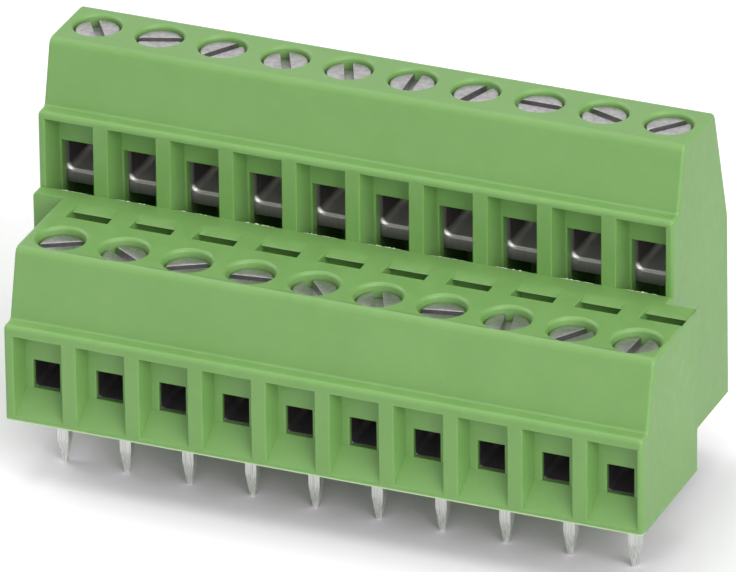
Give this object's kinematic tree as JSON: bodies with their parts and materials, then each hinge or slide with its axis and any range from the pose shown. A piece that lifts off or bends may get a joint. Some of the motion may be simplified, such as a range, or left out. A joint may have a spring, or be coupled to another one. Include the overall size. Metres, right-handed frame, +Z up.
{
  "type": "pcb terminal block",
  "caption": "Stepped screw terminal block for a circuit board, with slotted clamp screws on top, wire funnels in front and solder pins below.",
  "frame": {"origin": "on the face that sits on the board, midway between the two rows of poles along X and midway from front to back", "axes": "+X along the rows, to the right seen from the wires' side; +Y from the wires' side to the back; +Z up, away from the board"},
  "size_m": [0.0399, 0.0178, 0.0223],
  "materials": {
    "housing_plastic": "moulded green polyamide, satin",
    "screw_steel": "nickel-plated steel, turned, with a slot",
    "sleeve_nickel": "nickel-plated brass, stamped",
    "contact_tin": "matt tin-plated copper alloy strip"
  },
  "bodies": {
    "block": {"housing": "housing_plastic", "front_contacts": "contact_tin", "rear_contacts": "contact_tin"},
    "front_screw_1": {"front_screw_1": "screw_steel"},
    "front_sleeve_1": {"front_sleeve_1": "sleeve_nickel"},
    "front_screw_2": {"front_screw_2": "screw_steel"},
    "front_sleeve_2": {"front_sleeve_2": "sleeve_nickel"},
    "front_screw_3": {"front_screw_3": "screw_steel"},
    "front_sleeve_3": {"front_sleeve_3": "sleeve_nickel"},
    "front_screw_4": {"front_screw_4": "screw_steel"},
    "front_sleeve_4": {"front_sleeve_4": "sleeve_nickel"},
    "front_screw_5": {"front_screw_5": "screw_steel"},
    "front_sleeve_5": {"front_sleeve_5": "sleeve_nickel"},
    "front_screw_6": {"front_screw_6": "screw_steel"},
    "front_sleeve_6": {"front_sleeve_6": "sleeve_nickel"},
    "front_screw_7": {"front_screw_7": "screw_steel"},
    "front_sleeve_7": {"front_sleeve_7": "sleeve_nickel"},
    "front_screw_8": {"front_screw_8": "screw_steel"},
    "front_sleeve_8": {"front_sleeve_8": "sleeve_nickel"},
    "front_screw_9": {"front_screw_9": "screw_steel"},
    "front_sleeve_9": {"front_sleeve_9": "sleeve_nickel"},
    "front_screw_10": {"front_screw_10": "screw_steel"},
    "front_sleeve_10": {"front_sleeve_10": "sleeve_nickel"},
    "rear_screw_1": {"rear_screw_1": "screw_steel"},
    "rear_sleeve_1": {"rear_sleeve_1": "sleeve_nickel"},
    "rear_screw_2": {"rear_screw_2": "screw_steel"},
    "rear_sleeve_2": {"rear_sleeve_2": "sleeve_nickel"},
    "rear_screw_3": {"rear_screw_3": "screw_steel"},
    "rear_sleeve_3": {"rear_sleeve_3": "sleeve_nickel"},
    "rear_screw_4": {"rear_screw_4": "screw_steel"},
    "rear_sleeve_4": {"rear_sleeve_4": "sleeve_nickel"},
    "rear_screw_5": {"rear_screw_5": "screw_steel"},
    "rear_sleeve_5": {"rear_sleeve_5": "sleeve_nickel"},
    "rear_screw_6": {"rear_screw_6": "screw_steel"},
    "rear_sleeve_6": {"rear_sleeve_6": "sleeve_nickel"},
    "rear_screw_7": {"rear_screw_7": "screw_steel"},
    "rear_sleeve_7": {"rear_sleeve_7": "sleeve_nickel"},
    "rear_screw_8": {"rear_screw_8": "screw_steel"},
    "rear_sleeve_8": {"rear_sleeve_8": "sleeve_nickel"},
    "rear_screw_9": {"rear_screw_9": "screw_steel"},
    "rear_sleeve_9": {"rear_sleeve_9": "sleeve_nickel"},
    "rear_screw_10": {"rear_screw_10": "screw_steel"},
    "rear_sleeve_10": {"rear_sleeve_10": "sleeve_nickel"}
  },
  "joints": [
    {"name": "front_screw_1_turn", "type": "hinge", "parent": "block", "child": "front_screw_1", "pos_m": [-0.01619, -0.00525, 0.00855], "axis": [0, 0, -1], "range_deg": [0, 1800]},
    {"name": "front_sleeve_1_lift", "type": "slide", "parent": "block", "child": "front_sleeve_1", "axis": [0, 0, 1], "range_m": [0, 0.002]},
    {"name": "front_screw_2_turn", "type": "hinge", "parent": "block", "child": "front_screw_2", "pos_m": [-0.01238, -0.00525, 0.00855], "axis": [0, 0, -1], "range_deg": [0, 1800]},
    {"name": "front_sleeve_2_lift", "type": "slide", "parent": "block", "child": "front_sleeve_2", "axis": [0, 0, 1], "range_m": [0, 0.002]},
    {"name": "front_screw_3_turn", "type": "hinge", "parent": "block", "child": "front_screw_3", "pos_m": [-0.00857, -0.00525, 0.00855], "axis": [0, 0, -1], "range_deg": [0, 1800]},
    {"name": "front_sleeve_3_lift", "type": "slide", "parent": "block", "child": "front_sleeve_3", "axis": [0, 0, 1], "range_m": [0, 0.002]},
    {"name": "front_screw_4_turn", "type": "hinge", "parent": "block", "child": "front_screw_4", "pos_m": [-0.00476, -0.00525, 0.00855], "axis": [0, 0, -1], "range_deg": [0, 1800]},
    {"name": "front_sleeve_4_lift", "type": "slide", "parent": "block", "child": "front_sleeve_4", "axis": [0, 0, 1], "range_m": [0, 0.002]},
    {"name": "front_screw_5_turn", "type": "hinge", "parent": "block", "child": "front_screw_5", "pos_m": [-0.00095, -0.00525, 0.00855], "axis": [0, 0, -1], "range_deg": [0, 1800]},
    {"name": "front_sleeve_5_lift", "type": "slide", "parent": "block", "child": "front_sleeve_5", "axis": [0, 0, 1], "range_m": [0, 0.002]},
    {"name": "front_screw_6_turn", "type": "hinge", "parent": "block", "child": "front_screw_6", "pos_m": [0.00286, -0.00525, 0.00855], "axis": [0, 0, -1], "range_deg": [0, 1800]},
    {"name": "front_sleeve_6_lift", "type": "slide", "parent": "block", "child": "front_sleeve_6", "axis": [0, 0, 1], "range_m": [0, 0.002]},
    {"name": "front_screw_7_turn", "type": "hinge", "parent": "block", "child": "front_screw_7", "pos_m": [0.00667, -0.00525, 0.00855], "axis": [0, 0, -1], "range_deg": [0, 1800]},
    {"name": "front_sleeve_7_lift", "type": "slide", "parent": "block", "child": "front_sleeve_7", "axis": [0, 0, 1], "range_m": [0, 0.002]},
    {"name": "front_screw_8_turn", "type": "hinge", "parent": "block", "child": "front_screw_8", "pos_m": [0.01048, -0.00525, 0.00855], "axis": [0, 0, -1], "range_deg": [0, 1800]},
    {"name": "front_sleeve_8_lift", "type": "slide", "parent": "block", "child": "front_sleeve_8", "axis": [0, 0, 1], "range_m": [0, 0.002]},
    {"name": "front_screw_9_turn", "type": "hinge", "parent": "block", "child": "front_screw_9", "pos_m": [0.01429, -0.00525, 0.00855], "axis": [0, 0, -1], "range_deg": [0, 1800]},
    {"name": "front_sleeve_9_lift", "type": "slide", "parent": "block", "child": "front_sleeve_9", "axis": [0, 0, 1], "range_m": [0, 0.002]},
    {"name": "front_screw_10_turn", "type": "hinge", "parent": "block", "child": "front_screw_10", "pos_m": [0.0181, -0.00525, 0.00855], "axis": [0, 0, -1], "range_deg": [0, 1800]},
    {"name": "front_sleeve_10_lift", "type": "slide", "parent": "block", "child": "front_sleeve_10", "axis": [0, 0, 1], "range_m": [0, 0.002]},
    {"name": "rear_screw_1_turn", "type": "hinge", "parent": "block", "child": "rear_screw_1", "pos_m": [-0.0181, 0.0045, 0.01715], "axis": [0, 0, -1], "range_deg": [0, 1800]},
    {"name": "rear_sleeve_1_lift", "type": "slide", "parent": "block", "child": "rear_sleeve_1", "axis": [0, 0, 1], "range_m": [0, 0.002]},
    {"name": "rear_screw_2_turn", "type": "hinge", "parent": "block", "child": "rear_screw_2", "pos_m": [-0.01429, 0.0045, 0.01715], "axis": [0, 0, -1], "range_deg": [0, 1800]},
    {"name": "rear_sleeve_2_lift", "type": "slide", "parent": "block", "child": "rear_sleeve_2", "axis": [0, 0, 1], "range_m": [0, 0.002]},
    {"name": "rear_screw_3_turn", "type": "hinge", "parent": "block", "child": "rear_screw_3", "pos_m": [-0.01048, 0.0045, 0.01715], "axis": [0, 0, -1], "range_deg": [0, 1800]},
    {"name": "rear_sleeve_3_lift", "type": "slide", "parent": "block", "child": "rear_sleeve_3", "axis": [0, 0, 1], "range_m": [0, 0.002]},
    {"name": "rear_screw_4_turn", "type": "hinge", "parent": "block", "child": "rear_screw_4", "pos_m": [-0.00667, 0.0045, 0.01715], "axis": [0, 0, -1], "range_deg": [0, 1800]},
    {"name": "rear_sleeve_4_lift", "type": "slide", "parent": "block", "child": "rear_sleeve_4", "axis": [0, 0, 1], "range_m": [0, 0.002]},
    {"name": "rear_screw_5_turn", "type": "hinge", "parent": "block", "child": "rear_screw_5", "pos_m": [-0.00286, 0.0045, 0.01715], "axis": [0, 0, -1], "range_deg": [0, 1800]},
    {"name": "rear_sleeve_5_lift", "type": "slide", "parent": "block", "child": "rear_sleeve_5", "axis": [0, 0, 1], "range_m": [0, 0.002]},
    {"name": "rear_screw_6_turn", "type": "hinge", "parent": "block", "child": "rear_screw_6", "pos_m": [0.00095, 0.0045, 0.01715], "axis": [0, 0, -1], "range_deg": [0, 1800]},
    {"name": "rear_sleeve_6_lift", "type": "slide", "parent": "block", "child": "rear_sleeve_6", "axis": [0, 0, 1], "range_m": [0, 0.002]},
    {"name": "rear_screw_7_turn", "type": "hinge", "parent": "block", "child": "rear_screw_7", "pos_m": [0.00476, 0.0045, 0.01715], "axis": [0, 0, -1], "range_deg": [0, 1800]},
    {"name": "rear_sleeve_7_lift", "type": "slide", "parent": "block", "child": "rear_sleeve_7", "axis": [0, 0, 1], "range_m": [0, 0.002]},
    {"name": "rear_screw_8_turn", "type": "hinge", "parent": "block", "child": "rear_screw_8", "pos_m": [0.00857, 0.0045, 0.01715], "axis": [0, 0, -1], "range_deg": [0, 1800]},
    {"name": "rear_sleeve_8_lift", "type": "slide", "parent": "block", "child": "rear_sleeve_8", "axis": [0, 0, 1], "range_m": [0, 0.002]},
    {"name": "rear_screw_9_turn", "type": "hinge", "parent": "block", "child": "rear_screw_9", "pos_m": [0.01238, 0.0045, 0.01715], "axis": [0, 0, -1], "range_deg": [0, 1800]},
    {"name": "rear_sleeve_9_lift", "type": "slide", "parent": "block", "child": "rear_sleeve_9", "axis": [0, 0, 1], "range_m": [0, 0.002]},
    {"name": "rear_screw_10_turn", "type": "hinge", "parent": "block", "child": "rear_screw_10", "pos_m": [0.01619, 0.0045, 0.01715], "axis": [0, 0, -1], "range_deg": [0, 1800]},
    {"name": "rear_sleeve_10_lift", "type": "slide", "parent": "block", "child": "rear_sleeve_10", "axis": [0, 0, 1], "range_m": [0, 0.002]}
  ],
  "couplings": [
    {"joint": "front_screw_1_turn", "follows": "front_sleeve_1_lift", "rad_per_m": 15708},
    {"joint": "front_screw_2_turn", "follows": "front_sleeve_2_lift", "rad_per_m": 15708},
    {"joint": "front_screw_3_turn", "follows": "front_sleeve_3_lift", "rad_per_m": 15708},
    {"joint": "front_screw_4_turn", "follows": "front_sleeve_4_lift", "rad_per_m": 15708},
    {"joint": "front_screw_5_turn", "follows": "front_sleeve_5_lift", "rad_per_m": 15708},
    {"joint": "front_screw_6_turn", "follows": "front_sleeve_6_lift", "rad_per_m": 15708},
    {"joint": "front_screw_7_turn", "follows": "front_sleeve_7_lift", "rad_per_m": 15708},
    {"joint": "front_screw_8_turn", "follows": "front_sleeve_8_lift", "rad_per_m": 15708},
    {"joint": "front_screw_9_turn", "follows": "front_sleeve_9_lift", "rad_per_m": 15708},
    {"joint": "front_screw_10_turn", "follows": "front_sleeve_10_lift", "rad_per_m": 15708},
    {"joint": "rear_screw_1_turn", "follows": "rear_sleeve_1_lift", "rad_per_m": 15708},
    {"joint": "rear_screw_2_turn", "follows": "rear_sleeve_2_lift", "rad_per_m": 15708},
    {"joint": "rear_screw_3_turn", "follows": "rear_sleeve_3_lift", "rad_per_m": 15708},
    {"joint": "rear_screw_4_turn", "follows": "rear_sleeve_4_lift", "rad_per_m": 15708},
    {"joint": "rear_screw_5_turn", "follows": "rear_sleeve_5_lift", "rad_per_m": 15708},
    {"joint": "rear_screw_6_turn", "follows": "rear_sleeve_6_lift", "rad_per_m": 15708},
    {"joint": "rear_screw_7_turn", "follows": "rear_sleeve_7_lift", "rad_per_m": 15708},
    {"joint": "rear_screw_8_turn", "follows": "rear_sleeve_8_lift", "rad_per_m": 15708},
    {"joint": "rear_screw_9_turn", "follows": "rear_sleeve_9_lift", "rad_per_m": 15708},
    {"joint": "rear_screw_10_turn", "follows": "rear_sleeve_10_lift", "rad_per_m": 15708}
  ]
}
